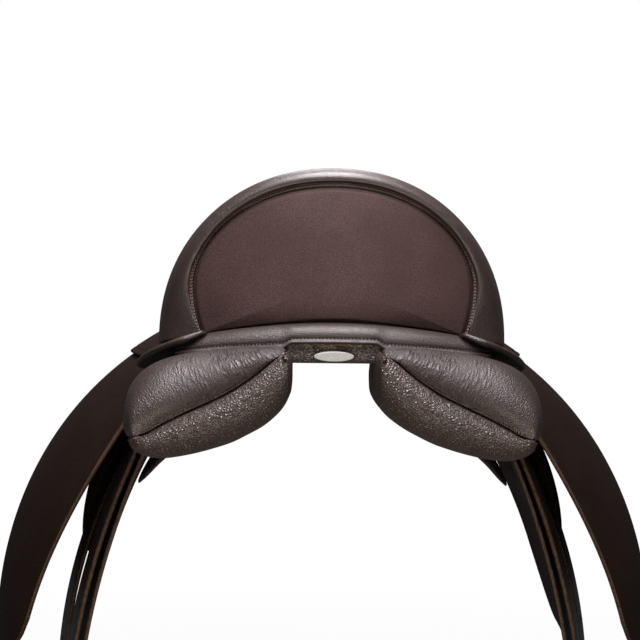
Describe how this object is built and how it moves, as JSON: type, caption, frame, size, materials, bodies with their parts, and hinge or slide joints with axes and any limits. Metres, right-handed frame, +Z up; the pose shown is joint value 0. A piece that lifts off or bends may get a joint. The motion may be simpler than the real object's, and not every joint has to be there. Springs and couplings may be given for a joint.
{
  "type": "dressage saddle",
  "caption": "English dressage saddle on a wooden tree: deep padded seat, wool panels with a gullet, long flaps and skirts that lift, hinged stirrup bars and hanging girth straps",
  "frame": {"origin": "on the middle line, level with the lowest part of the rear panels, midway along the seat", "axes": "+X to the saddle's right side, +Y towards the horse's head, +Z up"},
  "size_m": [0.6714, 0.5102, 0.6872],
  "materials": {
    "brown_leather": "satin",
    "dark_leather": "pebbled",
    "tree_wood": "matte",
    "black_steel": "satin",
    "bright_steel": "polished",
    "seat_padding": "matte",
    "canvas_web": "matte",
    "badge_enamel": "gloss"
  },
  "bodies": {
    "saddle": {"badge_oval": "badge_enamel", "bar_rivet_front_left": "bright_steel", "bar_rivet_front_right": "bright_steel", "bar_rivet_rear_left": "bright_steel", "bar_rivet_rear_right": "bright_steel", "cantle_facing": "dark_leather", "cantle_skirt_left": "brown_leather", "cantle_skirt_right": "brown_leather", "catch_pin_left": "bright_steel", "catch_pin_right": "bright_steel", "girth_web_front_left": "canvas_web", "girth_web_front_right": "canvas_web", "girth_web_rear_left": "canvas_web", "girth_web_rear_right": "canvas_web", "gullet_plate": "black_steel", "gullet_strip": "dark_leather", "head_plate": "black_steel", "panel_left": "dark_leather", "panel_right": "dark_leather", "point_pocket_left": "dark_leather", "point_pocket_right": "dark_leather", "rail_spring_left": "black_steel", "rail_spring_right": "black_steel", "rear_band": "brown_leather", "ring_plate_left": "bright_steel", "ring_plate_right": "bright_steel", "saddle_nail_left": "bright_steel", "saddle_nail_right": "bright_steel", "seat_cover": "brown_leather", "seat_foam": "seat_padding", "seat_web_cross": "canvas_web", "seat_web_left": "canvas_web", "seat_web_right": "canvas_web", "seat_welt_left": "brown_leather", "seat_welt_right": "brown_leather", "stirrup_bar_left": "bright_steel", "stirrup_bar_right": "bright_steel", "sweat_flap_left": "dark_leather", "sweat_flap_right": "dark_leather", "thigh_block_left": "brown_leather", "thigh_block_right": "brown_leather", "tree_cantle": "tree_wood", "tree_head": "tree_wood", "tree_rail_left": "tree_wood", "tree_rail_right": "tree_wood"},
    "flap_left": {"flap_left": "brown_leather"},
    "skirt_left": {"skirt_left": "brown_leather"},
    "catch_left": {"bar_catch_left": "bright_steel"},
    "ring_left": {"breastplate_ring_left": "bright_steel"},
    "strap_rear_left": {"girth_strap_rear_left": "dark_leather"},
    "strap_front_left": {"girth_strap_front_left": "dark_leather"},
    "flap_right": {"flap_right": "brown_leather"},
    "skirt_right": {"skirt_right": "brown_leather"},
    "catch_right": {"bar_catch_right": "bright_steel"},
    "ring_right": {"breastplate_ring_right": "bright_steel"},
    "strap_rear_right": {"girth_strap_rear_right": "dark_leather"},
    "strap_front_right": {"girth_strap_front_right": "dark_leather"}
  },
  "joints": [
    {"name": "flap_lift_left", "type": "hinge", "parent": "saddle", "child": "flap_left", "pos_m": [-0.111, 0, 0.12195], "axis": [0.2308, 0.9616, 0.1486], "range_deg": [0, 40]},
    {"name": "skirt_lift_left", "type": "hinge", "parent": "flap_left", "child": "skirt_left", "pos_m": [-0.11328, 0.0124, 0.12832], "axis": [0.2386, 0.9574, 0.1629], "range_deg": [0, 30]},
    {"name": "catch_hinge_left", "type": "hinge", "parent": "saddle", "child": "catch_left", "pos_m": [-0.09661, 0.09299, 0.12508], "axis": [-0.8985, 0.2692, -0.3467], "range_deg": [0, 35]},
    {"name": "ring_swing_left", "type": "hinge", "parent": "saddle", "child": "ring_left", "pos_m": [-0.07352, 0.201, 0.12953], "axis": [0, 1, 0], "range_deg": [0, 70]},
    {"name": "strap_swing_rear_left", "type": "hinge", "parent": "saddle", "child": "strap_rear_left", "pos_m": [-0.15371, -0.058, 0.06644], "axis": [-0.8589, 0, 0.5122], "range_deg": [-4, 4]},
    {"name": "strap_swing_front_left", "type": "hinge", "parent": "saddle", "child": "strap_front_left", "pos_m": [-0.13496, 0.045, 0.0902], "axis": [-0.7384, 0, 0.6744], "range_deg": [-4, 4]},
    {"name": "flap_lift_right", "type": "hinge", "parent": "saddle", "child": "flap_right", "pos_m": [0.111, 0, 0.12195], "axis": [0.2308, -0.9616, -0.1486], "range_deg": [0, 40]},
    {"name": "skirt_lift_right", "type": "hinge", "parent": "flap_right", "child": "skirt_right", "pos_m": [0.11328, 0.0124, 0.12832], "axis": [0.2386, -0.9574, -0.1629], "range_deg": [0, 30]},
    {"name": "catch_hinge_right", "type": "hinge", "parent": "saddle", "child": "catch_right", "pos_m": [0.09661, 0.09299, 0.12508], "axis": [-0.8985, -0.2692, 0.3467], "range_deg": [0, 35]},
    {"name": "ring_swing_right", "type": "hinge", "parent": "saddle", "child": "ring_right", "pos_m": [0.07352, 0.201, 0.12953], "axis": [0, -1, 0], "range_deg": [0, 70]},
    {"name": "strap_swing_rear_right", "type": "hinge", "parent": "saddle", "child": "strap_rear_right", "pos_m": [0.15371, -0.058, 0.06644], "axis": [0.8589, 0, 0.5122], "range_deg": [-4, 4]},
    {"name": "strap_swing_front_right", "type": "hinge", "parent": "saddle", "child": "strap_front_right", "pos_m": [0.13496, 0.045, 0.0902], "axis": [0.7384, 0, 0.6744], "range_deg": [-4, 4]}
  ]
}
